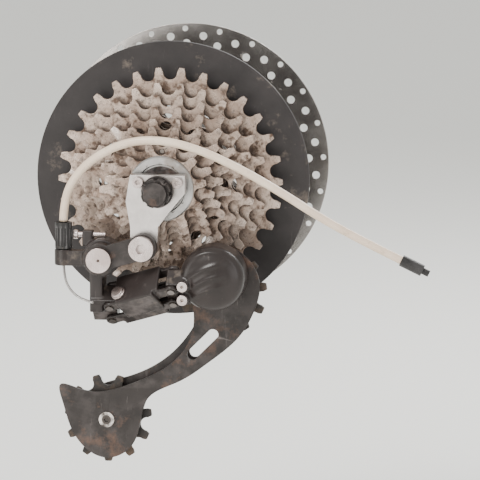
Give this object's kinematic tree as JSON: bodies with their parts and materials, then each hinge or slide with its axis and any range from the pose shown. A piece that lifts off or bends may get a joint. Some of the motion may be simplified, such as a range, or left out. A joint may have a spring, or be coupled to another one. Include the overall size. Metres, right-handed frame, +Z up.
{
  "type": "bicycle rear hub with derailleur gear",
  "caption": "Bicycle rear hub with freewheeling sprocket cassette, disc rotor, quick release, and a sprung parallelogram derailleur that shifts and tensions the chain.",
  "frame": {"origin": "middle of the hub on the axle line, halfway between the locknut faces", "axes": "+Y along the axle towards the rotor side, +X forwards on the bicycle, +Z up"},
  "size_m": [0.2308, 0.1799, 0.2357],
  "materials": {
    "hub_alloy": "worn, dusty cast and turned alloy",
    "axle_steel": "plated steel",
    "bearing_steel": "polished balls",
    "spring_steel": "oiled spring wire",
    "silver_alloy": "bright brushed alloy",
    "bolt_steel": "bright plated fasteners",
    "black_steel": "satin black coated steel, dusty",
    "driver_steel": "hardened dark steel",
    "sprocket_steel": "nickel steel under brown grease and grit",
    "spacer_plastic": "dark moulded plastic",
    "protector_plastic": "matte black moulded plastic",
    "rotor_steel": "ground stainless with a worn track",
    "knuckle_paint": "satin black alloy with grey scuffs",
    "link_pin_steel": "ground pins",
    "pulley_plastic": "black moulded plastic with grime",
    "adjuster_plastic": "black knurled plastic",
    "housing_cream": "aged cream sleeve",
    "wire_steel": "twisted wire"
  },
  "bodies": {
    "axle_group": {"axle": "axle_steel", "axle_cones": "axle_steel", "axle_locknuts": "axle_steel", "skewer_cap": "hub_alloy", "skewer_spring": "spring_steel", "derailleur_hanger": "silver_alloy", "hanger_screws": "bolt_steel", "mount_bolt": "bolt_steel", "bracket_link": "black_steel", "b_axle_bolt": "bolt_steel", "cable_housing": "housing_cream", "housing_ferrule": "adjuster_plastic"},
    "skewer": {"skewer_rod": "axle_steel", "skewer_nut": "black_steel"},
    "lever": {"skewer_lever": "silver_alloy"},
    "hub": {"hub_shell": "hub_alloy", "hub_balls": "bearing_steel", "dust_caps": "black_steel", "freehub_core": "axle_steel", "freehub_bolt": "axle_steel", "freehub_balls": "bearing_steel", "pawl_spring": "spring_steel", "spoke_protector": "protector_plastic", "brake_rotor": "rotor_steel", "rotor_bolts": "bolt_steel"},
    "pawl_a": {"pawl_a": "driver_steel"},
    "pawl_b": {"pawl_b": "driver_steel"},
    "driver": {"freehub_driver": "driver_steel", "sprocket_11t": "sprocket_steel", "sprocket_13t": "sprocket_steel", "sprocket_15t": "sprocket_steel", "sprocket_17t": "sprocket_steel", "sprocket_20t": "sprocket_steel", "sprocket_23t": "sprocket_steel", "sprocket_26t": "sprocket_steel", "sprocket_30t": "sprocket_steel", "cassette_spacers": "spacer_plastic", "cassette_pins": "driver_steel", "lockring": "hub_alloy"},
    "b_knuckle": {"b_knuckle": "knuckle_paint", "b_spring": "spring_steel", "b_screw": "bolt_steel", "shift_cable": "wire_steel", "return_spring": "spring_steel"},
    "adjuster": {"barrel_adjuster": "adjuster_plastic"},
    "outer_link": {"outer_link": "knuckle_paint", "outer_link_pins": "link_pin_steel", "cable_anchor_bolt": "bolt_steel"},
    "inner_link": {"inner_link": "knuckle_paint", "inner_link_pins": "link_pin_steel"},
    "p_knuckle": {"p_knuckle": "knuckle_paint", "limit_screws": "bolt_steel", "p_spring": "spring_steel"},
    "cage": {"cage_outer": "black_steel", "cage_inner": "black_steel", "p_axle": "link_pin_steel", "pulley_bolts": "bolt_steel", "pulley_bushes": "link_pin_steel"},
    "guide": {"guide_pulley": "pulley_plastic"},
    "tension": {"tension_pulley": "pulley_plastic"}
  },
  "joints": [
    {"name": "hub_spin", "type": "hinge", "parent": "axle_group", "child": "hub", "pos_m": [0, 0, 0], "axis": [0, 1, 0], "continuous": true},
    {"name": "freewheel", "type": "hinge", "parent": "hub", "child": "driver", "pos_m": [0, 0, 0], "axis": [0, 1, 0], "continuous": true},
    {"name": "pawl_a_rock", "type": "hinge", "parent": "hub", "child": "pawl_a", "pos_m": [0.00688, -0.032, 0.00947], "axis": [0, 1, 0], "range_deg": [0, 10]},
    {"name": "pawl_b_rock", "type": "hinge", "parent": "hub", "child": "pawl_b", "pos_m": [-0.00688, -0.032, -0.00947], "axis": [0, 1, 0], "range_deg": [0, 10]},
    {"name": "lever_swing", "type": "hinge", "parent": "axle_group", "child": "lever", "pos_m": [0, 0.084, 0], "axis": [1, 0, 0], "range_deg": [0, 170]},
    {"name": "skewer_draw", "type": "slide", "parent": "axle_group", "child": "skewer", "axis": [0, 1, 0], "range_m": [-0.0018, 0]},
    {"name": "b_pivot", "type": "hinge", "parent": "axle_group", "child": "b_knuckle", "pos_m": [-0.032, -0.067, -0.038], "axis": [0, 1, 0], "range_deg": [0, 20], "stiffness_Nm_per_rad": 0.5, "springref_deg": -34.38, "deforming": ["cable_housing", "housing_ferrule"]},
    {"name": "adjuster_turn", "type": "hinge", "parent": "b_knuckle", "child": "adjuster", "pos_m": [-0.054, -0.068, -0.026], "axis": [0, 0, 1], "continuous": true},
    {"name": "shift", "type": "hinge", "parent": "b_knuckle", "child": "outer_link", "pos_m": [-0.027, -0.06924, -0.06026], "axis": [0, 0.7071, 0.7071], "range_deg": [-11, 61], "stiffness_Nm_per_rad": 0.15, "springref_deg": -85.94, "deforming": ["shift_cable", "return_spring"]},
    {"name": "inner_swing", "type": "hinge", "parent": "b_knuckle", "child": "inner_link", "pos_m": [-0.027, -0.06076, -0.06874], "axis": [0, 0.7071, 0.7071], "range_deg": [-12, 62]},
    {"name": "p_swing", "type": "hinge", "parent": "outer_link", "child": "p_knuckle", "pos_m": [0.00922, -0.08124, -0.04826], "axis": [0, 0.7071, 0.7071], "range_deg": [-62, 12]},
    {"name": "cage_swing", "type": "hinge", "parent": "p_knuckle", "child": "cage", "pos_m": [0.031, -0.062, -0.047], "axis": [0, 1, 0], "range_deg": [-60, 20], "stiffness_Nm_per_rad": 0.12, "springref_deg": 68.75},
    {"name": "guide_spin", "type": "hinge", "parent": "cage", "child": "guide", "pos_m": [0.034, -0.0573, -0.058], "axis": [0, 1, 0], "continuous": true},
    {"name": "tension_spin", "type": "hinge", "parent": "cage", "child": "tension", "pos_m": [-0.031, -0.0573, -0.131], "axis": [0, 1, 0], "continuous": true}
  ],
  "couplings": [
    {"joint": "lever_swing", "follows": "skewer_draw", "rad_per_m": -1648.4},
    {"joint": "inner_swing", "follows": "shift", "ratio": 1},
    {"joint": "p_swing", "follows": "shift", "ratio": -1}
  ]
}
